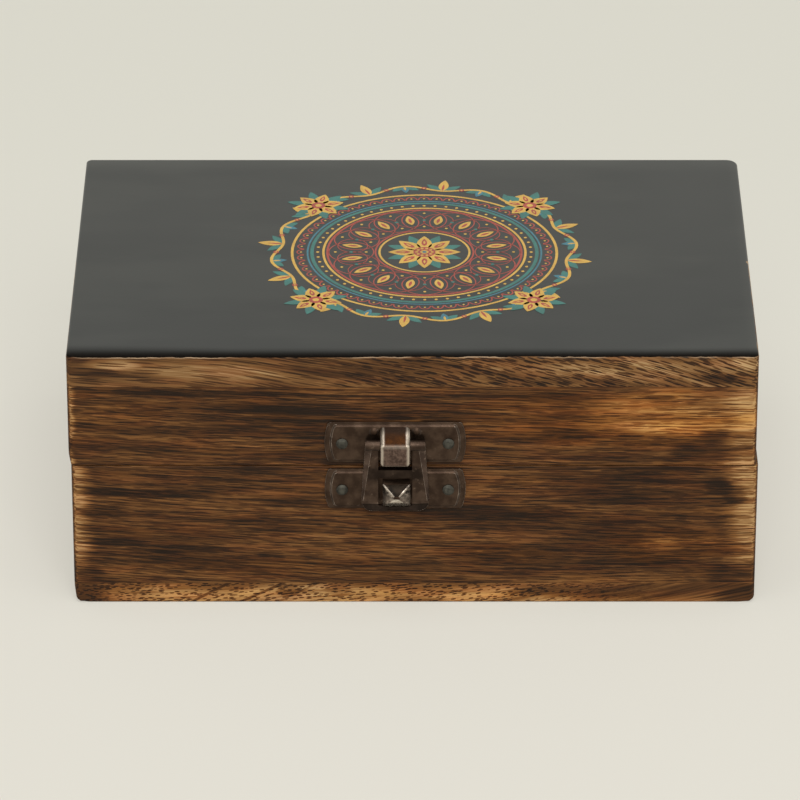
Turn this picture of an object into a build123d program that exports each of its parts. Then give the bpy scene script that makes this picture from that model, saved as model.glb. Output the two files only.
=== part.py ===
from build123d import *
import os
from math import cos, radians, sin, tan

# A small keepsake box of glued boards. The lid turns on two butt hinges at the back and is held
# shut by a pressed metal latch at the front. Millimetres; X is the width, the latch faces -Y,
# Z is up, and the origin is the middle of the base's underside.

# ---- Driving dimensions: box ----
box_depth = 101.6
box_length = 152.0
base_height = 34.5
bottom_thickness = 5.0
lid_frame_height = 19.55
lid_top_thickness = 7.4
lid_shift = -0.5            # the lid's middle from the base's, so the lid overhangs at the left
wall = 9.0
parting_gap = 0.25          # between the base's rim and the lid's
corner_radius = 1.3         # upright corners, sanded after gluing
worn_corner_radius = 2.6    # the lid's back right corner, sanded further
base_arris = 0.4            # around the underside
top_arris = 0.5             # around the lid's top
rim_arris = 0.15            # along the parting line
lid_ease = 0.6              # how far the lid's left end is sanded in at its rim
lid_ease_height = 2.8
base_ease = 0.6             # how far the base's left end is sanded in at its foot
base_ease_height = 4.5
ease_radius = 8.0           # where the sanded slopes begin

# ---- Driving dimensions: hinges ----
open_angle = 100.0          # where the two back bevels meet and stop the lid
stop_run = 2.6              # depth of the bevels, and of the pin's axis, from the back
hinge_inset = 27.7          # from the base's end to the middle of a hinge
hinge_length = 25.0
leaf_width = 5.2            # from the pin's axis to the leaf's front edge
leaf_thickness = 0.8
mortise_clearance = 0.1
knuckle_diameter = 3.2
knuckle_count = 3
knuckle_gap = 0.15          # between two knuckles, end to end
knuckle_clearance = 0.3     # around the knuckles, in wood and in the other leaf
pin_diameter = 1.6
pin_clearance = 0.05
pin_projection = 0.35
screw_spacing = 15.0
screw_from_axis = 3.5
screw_diameter = 1.5
screw_head_diameter = 2.6
screw_head_edge = 0.1       # straight rim above the head's countersink
screw_length = 8.0
screw_slot_width = 0.35
screw_slot_depth = 0.3
screw_sides = 12
screw_clearance = 0.05      # around a screw in a leaf
pilot_clearance = 0.03      # around a screw or nail in wood

# ---- Driving dimensions: latch ----
# Heights are from the middle of the parting line, depths are out from the box's front.
latch_offset = -3.8         # the latch's middle from the lid's
plate_width = 31.2
plate_end_bulge = 0.9
plate_corner_radius = 0.8
flange_thickness = 0.5
field_thickness = 0.95      # the raised field inside the flange
flange_end_width = 1.2
flange_side_width = 0.5
field_chamfer = 0.35
upper_plate_height = 9.9
upper_plate_bottom = 1.2
catch_plate_height = 9.8
catch_plate_top = -0.5
nail_spacing = 23.5
nail_drop = 0.1             # below the middle of a plate
nail_diameter = 1.3
nail_hole_clearance = 0.05
nail_head_diameter = 2.6
nail_head_height = 0.55
nail_head_flat = 1.5        # the hammered flat on top of the head
nail_head_edge = 0.15
nail_length = 7.5
strap_width = 6.6
strap_thickness = 0.9
strap_root_height = 9.9
strap_reach = 5.0           # front face of the strap
strap_fold_height = 7.2
strap_bottom_height = 1.9
strap_edge_radius = 0.8
strap_fold_radius = 0.6
strap_tuck_radius = 0.9
shoulder_spacing = 9.4
shoulder_height = 9.0
shoulder_radius = 1.1
shoulder_rise = 0.5
shoulder_flat = 1.1
barrel_diameter = 2.4
barrel_depth = 2.3
barrel_height = 6.35
hasp_back = 1.6
hasp_thickness = 0.9
hasp_edge_thickness = 0.3
hasp_top_width = 13.2
hasp_top_face_width = 10.2
hasp_bottom_width = 15.0
hasp_bottom_face_width = 14.2
hasp_window_width = 7.5
crossbar_top = 0.2
crossbar_bottom = -1.75
hasp_window_bottom = -8.5
lip_start = -7.4
lip_radius = 1.95
lip_angle = 70.0
lip_corner_radius = 2.4
catch_offset = 0.3          # the stud's middle from the latch's, as nailed on
stud_width = 6.1
stud_height = 5.4
stud_middle = -5.5
stud_rim = 3.5
stud_peak = 4.9
stud_flat = 0.7
stud_wall = 0.8

# ---- Values worked out from them ----
lid_bottom = base_height + parting_gap
lid_frame_top = lid_bottom + lid_frame_height
box_height = lid_frame_top + lid_top_thickness
parting = base_height + parting_gap / 2
side_length = box_depth - 2 * wall
hinge_y = box_depth / 2 - stop_run
hinge_spacing = box_length - 2 * hinge_inset
bevel_rise = tan(radians(open_angle / 2))
latch_x = lid_shift + latch_offset
knuckle_pitch = hinge_length / knuckle_count
past = 2.0                  # how far a cutting shape runs past what it cuts

base_rim = Plane(origin=(0, hinge_y, base_height))
lid_rim = Plane(origin=(0, hinge_y, lid_bottom), x_dir=(-1, 0, 0), z_dir=(0, 0, -1))
latch_front = Plane(origin=(latch_x, -box_depth / 2, parting), x_dir=(1, 0, 0), z_dir=(0, -1, 0))
latch_side = Plane(origin=(latch_x, -box_depth / 2, parting), x_dir=(0, -1, 0), z_dir=(-1, 0, 0))


# ---- Boards ----
# The base and the lid are each sanded as one after gluing, so their boards are cut from a form.

def stop_bevel(rim_height, into_wood):
    """Bevels the back edge of a rim, from the hinge axis out to the back."""
    run = stop_run + past
    with BuildSketch(Plane.YZ) as bevel:
        with BuildLine():
            Polyline(
                (hinge_y, rim_height),
                (hinge_y + run, rim_height + into_wood * run * bevel_rise),
                (hinge_y + run, rim_height - into_wood * past),
                (hinge_y, rim_height - into_wood * past),
                close=True,
            )
        make_face()
    extrude(bevel.sketch, amount=box_length, both=True, mode=Mode.SUBTRACT)


def sand_left_end(middle, low, high, ease, ease_height):
    """Sands the lower part of a form's left end to a slope."""
    left, right = middle - box_length / 2, middle + box_length / 2
    with BuildSketch(Plane.XZ) as outline:
        with BuildLine():
            Polyline(
                (left + ease, low),
                (right, low),
                (right, high),
                (left, high),
                (left, low + ease_height),
                close=True,
            )
        make_face()
        fillet(outline.vertices().group_by(Axis.Y)[1], ease_radius)
    extrude(outline.sketch, amount=box_depth, both=True, mode=Mode.INTERSECT)


with BuildPart() as base_form:
    with BuildSketch():
        RectangleRounded(box_length, box_depth, corner_radius)
    extrude(amount=base_height)
    chamfer(base_form.faces().sort_by(Axis.Z)[0].edges(), base_arris)
    chamfer(base_form.faces().sort_by(Axis.Z)[-1].edges(), rim_arris)
    sand_left_end(0, 0, base_height, base_ease, base_ease_height)
    stop_bevel(base_height, -1)

with BuildPart() as lid_form:
    with BuildSketch(Plane.XY.offset(lid_bottom)) as lid_plan:
        with Locations((lid_shift, 0)):
            Rectangle(box_length, box_depth)
        corners = lid_plan.vertices().group_by(Axis.Y)
        fillet(corners[0] + [corners[-1].sort_by(Axis.X)[0]], corner_radius)
        fillet(lid_plan.vertices().group_by(Axis.Y)[-1].sort_by(Axis.X)[-1], worn_corner_radius)
    extrude(amount=box_height - lid_bottom)
    fillet(lid_form.faces().sort_by(Axis.Z)[-1].edges(), top_arris)
    chamfer(lid_form.faces().sort_by(Axis.Z)[0].edges(), rim_arris)
    sand_left_end(lid_shift, lid_bottom, box_height, lid_ease, lid_ease_height)
    stop_bevel(lid_bottom, 1)


def board(form, bottom, height, length, depth, x, y):
    """Cuts one board, a slab of the form, about the point x, y."""
    with BuildSketch(Plane.XY.offset(bottom)) as slab:
        with Locations((x, y)):
            Rectangle(length, depth)
    extrude(slab.sketch, amount=height)
    add(form.part, mode=Mode.INTERSECT)


def hinge_seats(rim):
    """Cuts both hinges' leaf mortises, knuckle troughs and screw holes into a back board's rim."""
    trough_radius = knuckle_diameter / 2 + knuckle_clearance
    seat_length = hinge_length + 2 * (pin_projection + knuckle_clearance)
    with BuildSketch(rim) as mortises:
        with Locations((0, -(leaf_width + mortise_clearance) / 2)):
            with GridLocations(hinge_spacing, 0, 2, 1):
                Rectangle(hinge_length + 2 * mortise_clearance, leaf_width + mortise_clearance)
    extrude(mortises.sketch, amount=-leaf_thickness, mode=Mode.SUBTRACT)
    for x in (-hinge_spacing / 2, hinge_spacing / 2):
        with BuildSketch(Plane(origin=(x, hinge_y, parting), z_dir=(1, 0, 0))) as trough:
            Circle(trough_radius)
        extrude(trough.sketch, amount=seat_length / 2, both=True, mode=Mode.SUBTRACT)
    with BuildSketch(rim) as screw_holes:
        with Locations((0, -screw_from_axis)):
            with GridLocations(hinge_spacing, 0, 2, 1):
                with GridLocations(screw_spacing, 0, 2, 1):
                    RegularPolygon(screw_diameter / 2 + pilot_clearance, screw_sides)
    extrude(screw_holes.sketch, amount=-(screw_length + pilot_clearance), mode=Mode.SUBTRACT)


def nail_holes(plate_middle):
    """Drills the two nail holes of a latch plate into a front board."""
    with BuildSketch(latch_front) as holes:
        with Locations((0, plate_middle - nail_drop)):
            with GridLocations(nail_spacing, 0, 2, 1):
                Circle(nail_diameter / 2 + pilot_clearance)
    extrude(holes.sketch, amount=-(nail_length + pilot_clearance), mode=Mode.SUBTRACT)


frame_height = base_height - bottom_thickness
wall_y = (box_depth - wall) / 2
wall_x = (box_length - wall) / 2
upper_plate_middle = upper_plate_bottom + upper_plate_height / 2
catch_plate_middle = catch_plate_top - catch_plate_height / 2

with BuildPart() as bottom_board:
    board(base_form, 0, bottom_thickness, box_length, box_depth, 0, 0)

with BuildPart() as base_front_board:
    board(base_form, bottom_thickness, frame_height, box_length, wall, 0, -wall_y)
    nail_holes(catch_plate_middle)

with BuildPart() as base_back_board:
    board(base_form, bottom_thickness, frame_height, box_length, wall, 0, wall_y)
    hinge_seats(base_rim)

with BuildPart() as base_left_board:
    board(base_form, bottom_thickness, frame_height, wall, side_length, -wall_x, 0)

with BuildPart() as base_right_board:
    board(base_form, bottom_thickness, frame_height, wall, side_length, wall_x, 0)

with BuildPart() as lid_top_board:
    board(lid_form, lid_frame_top, lid_top_thickness, box_length, box_depth, lid_shift, 0)

with BuildPart() as lid_front_board:
    board(lid_form, lid_bottom, lid_frame_height, box_length, wall, lid_shift, -wall_y)
    nail_holes(upper_plate_middle)

with BuildPart() as lid_back_board:
    board(lid_form, lid_bottom, lid_frame_height, box_length, wall, lid_shift, wall_y)
    hinge_seats(lid_rim)

with BuildPart() as lid_left_board:
    board(lid_form, lid_bottom, lid_frame_height, wall, side_length, lid_shift - wall_x, 0)

with BuildPart() as lid_right_board:
    board(lid_form, lid_bottom, lid_frame_height, wall, side_length, lid_shift + wall_x, 0)


# ---- Hinges ----
# A leaf lies flush in its rim. Its section is drawn looking along the pin, with the wood below.

def screw_forms(x, rim, clearance, mode):
    """The shapes of a leaf's two countersunk screws, or with a clearance, of their holes."""
    countersink = (screw_head_diameter - screw_diameter) / 2
    for place in (-screw_spacing / 2, screw_spacing / 2):
        foot = Vector(x + place, hinge_y - screw_from_axis, rim.origin.Z)
        into_wood = Plane(origin=foot, x_dir=rim.x_dir, z_dir=-rim.z_dir)
        with BuildPart(mode=Mode.PRIVATE) as form:
            with BuildSketch(into_wood) as head:
                RegularPolygon(screw_head_diameter / 2 + clearance, screw_sides)
            extrude(head.sketch, amount=screw_head_edge + countersink)
            head_end = form.faces().sort_by(Axis(foot, into_wood.z_dir))[-1]
            chamfer(head_end.edges(), countersink)
            with BuildSketch(into_wood) as shank:
                RegularPolygon(screw_diameter / 2 + clearance, screw_sides)
            extrude(shank.sketch, amount=screw_length)
        add(form.part, mode=mode)


def leaf(x, facing, rim, knuckles):
    """One hinge leaf, with the knuckles whose places along the pin are given."""
    strip_top = -parting_gap / 2
    strip_middle = strip_top - leaf_thickness / 2
    clear_of_knuckles = knuckle_diameter / 2 + knuckle_clearance
    section = Plane(origin=(x, hinge_y, parting), x_dir=(0, 1, 0), z_dir=(facing, 0, 0))
    with BuildSketch(section) as strip:
        with Locations((-(leaf_width + clear_of_knuckles) / 2, strip_middle)):
            Rectangle(leaf_width - clear_of_knuckles, leaf_thickness)
    extrude(strip.sketch, amount=hinge_length / 2, both=True)
    for place in knuckles:
        with BuildSketch(section.offset(facing * place)) as knuckle:
            Circle(knuckle_diameter / 2)
            with Locations((-leaf_width / 2, strip_middle)):
                Rectangle(leaf_width, leaf_thickness)
        extrude(knuckle.sketch, amount=(knuckle_pitch - knuckle_gap) / 2, both=True)
    with BuildSketch(section) as bore:
        Circle(pin_diameter / 2 + pin_clearance)
    extrude(bore.sketch, amount=hinge_length, both=True, mode=Mode.SUBTRACT)
    screw_forms(x, rim, screw_clearance, Mode.SUBTRACT)


def screws(x, rim):
    """The two slotted screws of one leaf."""
    screw_forms(x, rim, 0, Mode.ADD)
    with BuildSketch(rim) as slots:
        with Locations(rim.to_local_coords(Vector(x, hinge_y - screw_from_axis, rim.origin.Z))):
            with GridLocations(screw_spacing, 0, 2, 1):
                Rectangle(screw_slot_width, screw_head_diameter + past)
    extrude(slots.sketch, amount=-screw_slot_depth, mode=Mode.SUBTRACT)


knuckle_places = [(i - (knuckle_count - 1) / 2) * knuckle_pitch for i in range(knuckle_count)]
os.makedirs("parts", exist_ok=True)

for side, hinge_x in (("left", -hinge_spacing / 2), ("right", hinge_spacing / 2)):
    with BuildPart() as base_leaf:
        leaf(hinge_x, 1, base_rim, knuckle_places[0::2])

    with BuildPart() as lid_leaf:
        leaf(hinge_x, -1, lid_rim, knuckle_places[1::2])

    with BuildPart() as pin:
        with BuildSketch(Plane(origin=(hinge_x, hinge_y, parting), z_dir=(1, 0, 0))):
            Circle(pin_diameter / 2)
        extrude(amount=hinge_length / 2 + pin_projection, both=True)

    with BuildPart() as base_screws:
        screws(hinge_x, base_rim)

    with BuildPart() as lid_screws:
        screws(hinge_x, lid_rim)

    hinge_pieces = {
        "base_leaf": base_leaf,
        "lid_leaf": lid_leaf,
        "pin": pin,
        "base_screws": base_screws,
        "lid_screws": lid_screws,
    }
    for piece_name, piece in hinge_pieces.items():
        piece.part.label = f"{side}_hinge_{piece_name}"
        export_step(piece.part, f"parts/{side}_hinge_{piece_name}.step")


# ---- Latch plates ----
# Each plate is pressed sheet: a flat flange around a raised field, with bowed ends.

def plate_outline(width, height, middle):
    """The outline of a plate or of its field, with bowed ends and rounded corners."""
    half_width = width / 2 - plate_end_bulge
    low, high = middle - height / 2, middle + height / 2
    with BuildLine() as outline:
        Line((-half_width, low), (half_width, low))
        ThreePointArc((half_width, low), (width / 2, middle), (half_width, high))
        Line((half_width, high), (-half_width, high))
        ThreePointArc((-half_width, high), (-width / 2, middle), (-half_width, low))
    make_face(outline.edges())


def pressed_plate(height, middle):
    """A latch plate's sheet, with its two nail holes."""
    with BuildSketch(latch_front) as flange:
        plate_outline(plate_width, height, middle)
        fillet(flange.vertices(), plate_corner_radius)
    extrude(flange.sketch, amount=flange_thickness)
    with BuildSketch(latch_front) as field:
        field_width = plate_width - 2 * flange_end_width
        plate_outline(field_width, height - 2 * flange_side_width, middle)
        fillet(field.vertices(), plate_corner_radius)
    extrude(field.sketch, amount=field_thickness)
    top = faces().sort_by(Axis.Y)[0]
    chamfer(top.edges(), field_chamfer)


def nail_clearance(middle):
    """The nail holes through a plate."""
    with BuildSketch(latch_front) as holes:
        with Locations((0, middle - nail_drop)):
            with GridLocations(nail_spacing, 0, 2, 1):
                Circle(nail_diameter / 2 + nail_hole_clearance)
    extrude(holes.sketch, amount=field_thickness + past, mode=Mode.SUBTRACT)


with BuildPart() as latch_upper_plate:
    pressed_plate(upper_plate_height, upper_plate_middle)
    nail_clearance(upper_plate_middle)
    # shoulders pressed up on either side of the strap's root
    for x in (-shoulder_spacing / 2, shoulder_spacing / 2):
        dome_foot = latch_front.from_local_coords((x, shoulder_height, field_thickness))
        with BuildSketch(Plane(origin=dome_foot, x_dir=(1, 0, 0), z_dir=(0, 0, -1))):
            with BuildLine():
                Polyline(
                    (0, shoulder_rise),
                    (shoulder_flat / 2, shoulder_rise),
                    (shoulder_radius, 0),
                    (shoulder_radius, -flange_thickness),
                    (0, -flange_thickness),
                    close=True,
                )
            make_face()
        revolve(axis=Axis(dome_foot, (0, -1, 0)))
    # the opening that the strap was pressed out of
    slot_bottom = strap_bottom_height + strap_thickness
    slot_top = strap_root_height - strap_thickness / 2
    with BuildSketch(latch_front):
        with Locations((0, (slot_bottom + slot_top) / 2)):
            Rectangle(strap_width, slot_top - slot_bottom)
    extrude(amount=field_thickness + past, mode=Mode.SUBTRACT)
    # the strap, swept from its root over the hasp's barrel and back to the plate
    with BuildLine(latch_side) as strap_path:
        front_run = strap_reach - strap_thickness / 2
        lower_run = strap_bottom_height + strap_thickness / 2
        FilletPolyline(
            (flange_thickness, strap_root_height),
            (front_run, strap_fold_height),
            (front_run, lower_run),
            (flange_thickness, lower_run),
            radius=[strap_fold_radius, strap_tuck_radius],
        )
    root = Plane(origin=strap_path.line @ 0, x_dir=(1, 0, 0), z_dir=strap_path.line % 0)
    with BuildSketch(root) as strap_section:
        Rectangle(strap_width, strap_thickness)
        outer = strap_section.vertices().group_by(Axis.Y)[-1]
        fillet(outer, strap_edge_radius)
    sweep(path=strap_path.line)

with BuildPart() as latch_catch_plate:
    pressed_plate(catch_plate_height, catch_plate_middle)
    nail_clearance(catch_plate_middle)
    stud_at = (catch_offset, stud_middle)
    with BuildSketch(latch_front):
        with Locations(stud_at):
            Rectangle(stud_width, stud_height)
    extrude(amount=stud_peak)
    # the four-sided point
    peak = latch_catch_plate.faces().sort_by(Axis.Y)[0]
    slope = (stud_height - stud_flat) / 2
    chamfer(peak.edges(), slope, stud_peak - stud_rim, reference=peak)
    # hollow behind, as pressed sheet is
    with BuildSketch(latch_front):
        with Locations(stud_at):
            Rectangle(stud_width - 2 * stud_wall, stud_height - 2 * stud_wall)
    extrude(amount=stud_rim - stud_wall, mode=Mode.SUBTRACT)


# ---- Hasp ----
def hasp_section(width, face_width, height):
    """The hasp's level section, its front face narrower than its back, so its sides bevel."""
    with BuildSketch(Plane(origin=(latch_x, -box_depth / 2, parting + height))) as section:
        with BuildLine():
            Polyline(
                (-width / 2, -hasp_back),
                (width / 2, -hasp_back),
                (width / 2, -hasp_back - hasp_edge_thickness),
                (face_width / 2, -hasp_back - hasp_thickness),
                (-face_width / 2, -hasp_back - hasp_thickness),
                (-width / 2, -hasp_back - hasp_edge_thickness),
                close=True,
            )
        make_face()
    return section.sketch


lip_centre = (hasp_back + hasp_thickness + lip_radius, lip_start)
lip_half_angle = radians(lip_angle / 2)
lip_reach = lip_radius * sin(lip_half_angle)
lip_across = Plane(
    origin=latch_side.from_local_coords(lip_centre),
    x_dir=(1, 0, 0),
    z_dir=(0, -cos(lip_half_angle), sin(lip_half_angle)),
)

with BuildPart() as latch_hasp:
    top = hasp_section(hasp_top_width, hasp_top_face_width, barrel_height)
    bottom = hasp_section(hasp_bottom_width, hasp_bottom_face_width, lip_start)
    loft([top, bottom], ruled=True)
    # flared finger lip, its corners rounded across its middle
    with BuildPart(mode=Mode.PRIVATE) as lip:
        with BuildSketch(latch_side):
            with BuildLine():
                back = CenterArc(lip_centre, lip_radius + hasp_thickness, 180, lip_angle)
                front = CenterArc(lip_centre, lip_radius, 180, lip_angle)
                Line(back @ 0, front @ 0)
                Line(back @ 1, front @ 1)
            make_face()
        extrude(amount=hasp_bottom_width / 2, both=True)
        with BuildSketch(lip_across) as lip_outline:
            with Locations((0, -lip_reach)):
                lip_size = (hasp_bottom_width, lip_reach + lip_radius + hasp_thickness)
                Rectangle(*lip_size, align=(Align.CENTER, Align.MIN))
            fillet(lip_outline.vertices().group_by(Axis.Y)[0], lip_corner_radius)
        extrude(amount=lip_radius + hasp_thickness, both=True, mode=Mode.INTERSECT)
    add(lip.part)
    # windows for the strap and for the stud
    with BuildSketch(latch_front):
        with Locations((0, (barrel_height + crossbar_top) / 2)):
            Rectangle(hasp_window_width, barrel_height - crossbar_top)
        with Locations((0, (crossbar_bottom + hasp_window_bottom) / 2)):
            Rectangle(hasp_window_width, crossbar_bottom - hasp_window_bottom)
    extrude(amount=hasp_back + hasp_thickness + past, mode=Mode.SUBTRACT)
    # the top edge rolled into a barrel
    with BuildSketch(latch_side):
        with Locations((barrel_depth, barrel_height)):
            Circle(barrel_diameter / 2)
    extrude(amount=hasp_top_width / 2, both=True)


# ---- Nails ----
def nails(middle):
    """The two round-headed nails of one latch plate."""
    head_radius = nail_head_diameter / 2
    shank_radius = nail_diameter / 2
    for across in (-nail_spacing / 2, nail_spacing / 2):
        foot = latch_front.from_local_coords((across, middle - nail_drop, field_thickness))
        with BuildSketch(Plane(origin=foot, x_dir=(1, 0, 0), z_dir=(0, 0, 1))) as profile:
            with BuildLine():
                # from the top of the head, round it and down the shank, out being -y
                Polyline(
                    (0, -nail_head_height),
                    (nail_head_flat / 2, -nail_head_height),
                    (head_radius, -nail_head_edge),
                    (head_radius, 0),
                    (shank_radius, 0),
                    (shank_radius, nail_length + field_thickness),
                    (0, nail_length + field_thickness),
                    close=True,
                )
            make_face()
        revolve(profile.sketch, axis=Axis(foot, (0, 1, 0)))


with BuildPart() as upper_plate_nails:
    nails(upper_plate_middle)

with BuildPart() as catch_plate_nails:
    nails(catch_plate_middle)


# ---- Files ----
single_pieces = {
    "bottom_board": bottom_board,
    "base_front_board": base_front_board,
    "base_back_board": base_back_board,
    "base_left_board": base_left_board,
    "base_right_board": base_right_board,
    "lid_top_board": lid_top_board,
    "lid_front_board": lid_front_board,
    "lid_back_board": lid_back_board,
    "lid_left_board": lid_left_board,
    "lid_right_board": lid_right_board,
    "latch_upper_plate": latch_upper_plate,
    "latch_catch_plate": latch_catch_plate,
    "latch_hasp": latch_hasp,
    "upper_plate_nails": upper_plate_nails,
    "catch_plate_nails": catch_plate_nails,
}
for piece_name, piece in single_pieces.items():
    piece.part.label = piece_name
    export_step(piece.part, f"parts/{piece_name}.step")
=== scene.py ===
import bmesh
import bpy
from math import cos, pi, radians, sin, sqrt, tan
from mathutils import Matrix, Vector


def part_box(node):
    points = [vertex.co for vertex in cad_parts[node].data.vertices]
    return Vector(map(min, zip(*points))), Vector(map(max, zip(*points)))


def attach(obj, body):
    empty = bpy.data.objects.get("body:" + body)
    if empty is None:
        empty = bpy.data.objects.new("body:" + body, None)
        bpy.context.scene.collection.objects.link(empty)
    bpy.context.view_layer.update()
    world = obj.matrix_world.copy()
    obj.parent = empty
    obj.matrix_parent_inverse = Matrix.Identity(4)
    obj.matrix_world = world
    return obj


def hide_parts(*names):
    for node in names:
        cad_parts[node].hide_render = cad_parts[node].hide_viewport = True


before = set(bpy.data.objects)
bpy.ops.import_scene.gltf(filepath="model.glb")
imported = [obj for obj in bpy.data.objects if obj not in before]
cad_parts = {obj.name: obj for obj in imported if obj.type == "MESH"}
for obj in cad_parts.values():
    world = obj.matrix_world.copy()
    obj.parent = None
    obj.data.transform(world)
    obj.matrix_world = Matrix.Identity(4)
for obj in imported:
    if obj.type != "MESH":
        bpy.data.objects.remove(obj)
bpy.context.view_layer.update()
MM = 0.001  # sizes are given in millimetres and turned into metres with this

# ---- Camera ----
# A long lens on a stand in front of the box, looking down on it a little, so that its lid and its
# front both show and its upright edges stay nearly upright.
camera_target = Vector((-3.24, 0, 24.64)) * MM
camera_distance = 1.389
camera_elevation = radians(27.46)



def add_object(name, data):
    """An object that holds this data, put in the scene."""
    added = bpy.data.objects.new(name, data)
    bpy.context.scene.collection.objects.link(added)
    return added


camera_data = bpy.data.cameras.new("camera")
camera_data.lens = 272.6
camera_data.sensor_width = 36
camera = add_object("camera", camera_data)
toward_camera = Vector((0, -cos(camera_elevation), sin(camera_elevation)))
camera.location = camera_target + camera_distance * toward_camera
camera.rotation_euler = (pi / 2 - camera_elevation, 0, 0)
bpy.context.scene.camera = camera
bpy.context.scene.view_settings.view_transform = "Standard"


# ---- Floor ----
# A plain pale table top with a faint warm tint, large enough that its edge is never seen. It is
# lit a little from below, as a light table is, so the shadows on it stay pale. Its colour is
# painted a little darker towards the back, a painted falloff of the light.
class Wire:
    """An output socket in a node tree. Arithmetic on it adds Math nodes to the tree."""

    def __init__(self, tree, socket=None):
        self.tree = tree
        self.socket = socket

    def node(self, kind, settings=(), inputs=(), output=0):
        """Adds a node: its settings first, then its sockets' values or links."""
        made = self.tree.nodes.new(kind)
        for name, value in dict(settings).items():
            if name == "stops":
                self.set_stops(made.color_ramp.elements, value)
            else:
                setattr(made, name, value)
        sockets = [socket for socket in made.inputs if socket.enabled]
        for name, value in dict(inputs).items():
            if isinstance(name, int):
                socket = sockets[name]
            else:
                socket = next(s for s in sockets if s.name == name)
            if isinstance(value, Wire):
                self.tree.links.new(value.socket, socket)
            else:
                socket.default_value = value
        outputs = [socket for socket in made.outputs if socket.enabled]
        if isinstance(output, str):
            return Wire(self.tree, next(s for s in outputs if s.name == output))
        return Wire(self.tree, outputs[output]) if outputs else None

    def set_stops(self, elements, stops):
        for place, _ in stops[2:]:
            elements.new(place)
        for element, (place, colour) in zip(elements, stops):
            element.position = place
        for element, (place, colour) in zip(elements, stops):
            element.color = (*colour, 1)

    def maths(self, operation, *values):
        return self.node("ShaderNodeMath", {"operation": operation}, enumerate(values))

    def __add__(self, other):
        return self.maths("ADD", self, other)

    def __radd__(self, other):
        return self.maths("ADD", other, self)

    def __sub__(self, other):
        return self.maths("SUBTRACT", self, other)

    def __rsub__(self, other):
        return self.maths("SUBTRACT", other, self)

    def __mul__(self, other):
        return self.maths("MULTIPLY", self, other)

    def __rmul__(self, other):
        return self.maths("MULTIPLY", other, self)

    def __truediv__(self, other):
        return self.maths("DIVIDE", self, other)

    def __abs__(self):
        return self.maths("ABSOLUTE", self)

    def axis(self, letter):
        """One coordinate of this vector."""
        return self.node("ShaderNodeSeparateXYZ", {}, {"Vector": self}, letter)

    def noise(self, scale, detail):
        """Noise over this place, from 0 to 1 and mostly near 0.5."""
        inputs = {"Vector": self, "Scale": scale, "Detail": detail}
        return self.node("ShaderNodeTexNoise", {}, inputs, 0)

    def bump(self, strength, depth):
        """The bumps that this height makes, their depth in millimetres."""
        inputs = {"Strength": strength, "Distance": depth * MM, "Height": self}
        return self.node("ShaderNodeBump", {}, inputs)

    def step(self, low, high):
        """0 where this is below low, 1 above high, and smooth between them."""
        settings = {"interpolation_type": "SMOOTHSTEP", "clamp": True}
        limits = {"Value": self, "From Min": low, "From Max": high}
        return self.node("ShaderNodeMapRange", settings, limits)

    def mix(self, first, second):
        """A colour, first where this is 0 and second where it is 1."""
        settings = {"data_type": "RGBA", "clamp_factor": True}
        first, second = (c if isinstance(c, Wire) else (*c, 1) for c in (first, second))
        return self.node("ShaderNodeMix", settings, {"Factor": self, "A": first, "B": second})


def new_material(name):
    """A material with an empty tree, and the wire that its nodes are made from."""
    material = bpy.data.materials.new(name)
    material.use_nodes = True
    material.node_tree.nodes.clear()
    return material, Wire(material.node_tree)


def object_place(start):
    """The place on the object, in metres."""
    return start.node("ShaderNodeTexCoord", {}, {}, "Object")


def finish_material(start, inputs):
    """The shader and output of an ordinary opaque material."""
    shader = start.node("ShaderNodeBsdfPrincipled", {}, inputs)
    start.node("ShaderNodeOutputMaterial", {}, {"Surface": shader})


floor_half = 4.0
# the floor's colour in front and further back: painted darker towards the back, as falloff of the
# light
floor_near, floor_far = (0.268, 0.260, 0.234), (0.235, 0.238, 0.207)
falloff_from, falloff_to = -0.1, 0.25
floor_corners = [(-1, -1), (1, -1), (1, 1), (-1, 1)]
floor_points = [(x * floor_half, y * floor_half, 0) for x, y in floor_corners]
floor_mesh = bpy.data.meshes.new("floor")
floor_mesh.from_pydata(floor_points, [], [(0, 1, 2, 3)])
floor = add_object("floor", floor_mesh)
floor_paint, start = new_material("floor_paint")
back = object_place(start).axis("Y").step(falloff_from, falloff_to)
finish_material(
    start,
    {
        "Base Color": back.mix(floor_near, floor_far),
        "Roughness": 0.85,
        "Specular IOR Level": 0.2,
        "Emission Color": (1.0, 0.96, 0.85, 1),
        "Emission Strength": 0.45,
    },
)
floor_mesh.materials.append(floor_paint)

# ---- Lights ----
# Two wide softboxes stand at the sides, a little to the front, and the room behind the box is
# pale. Overhead it is darker, so metal that faces up stays deep.
room_low, room_high = (0.46, 0.45, 0.42), (0.30, 0.30, 0.285)
wall_low, wall_high = (0.92, 0.91, 0.84), (0.72, 0.71, 0.65)
ceiling = (0.16, 0.16, 0.15)
seen_backdrop = (0.70, 0.69, 0.60)
world = bpy.data.worlds.new("studio")
world.use_nodes = True
world.node_tree.nodes.clear()
bpy.context.scene.world = world
sky = Wire(world.node_tree)
height = sky.node("ShaderNodeTexCoord", {}, {}, "Generated").axis("Z")
room = height.step(0.3, 0.9).mix(room_low, room_high)
wall = height.step(0.425, 0.505).mix(wall_low, wall_high)
backdrop = height.step(0.5, 0.95).mix(wall, ceiling)
in_camera = sky.node("ShaderNodeLightPath", {}, {}, "Is Camera Ray")
in_gloss = sky.node("ShaderNodeLightPath", {}, {}, "Is Glossy Ray")
in_glass = sky.node("ShaderNodeLightPath", {}, {}, "Is Transmission Ray")
shown = (in_gloss + in_glass).mix(room, backdrop)
shown = in_camera.mix(shown, seen_backdrop)
glow = sky.node("ShaderNodeBackground", {}, {"Color": shown, "Strength": 1.0})
sky.node("ShaderNodeOutputWorld", {}, {"Surface": glow})
box_middle = Vector((0, 0, 0.03))


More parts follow.
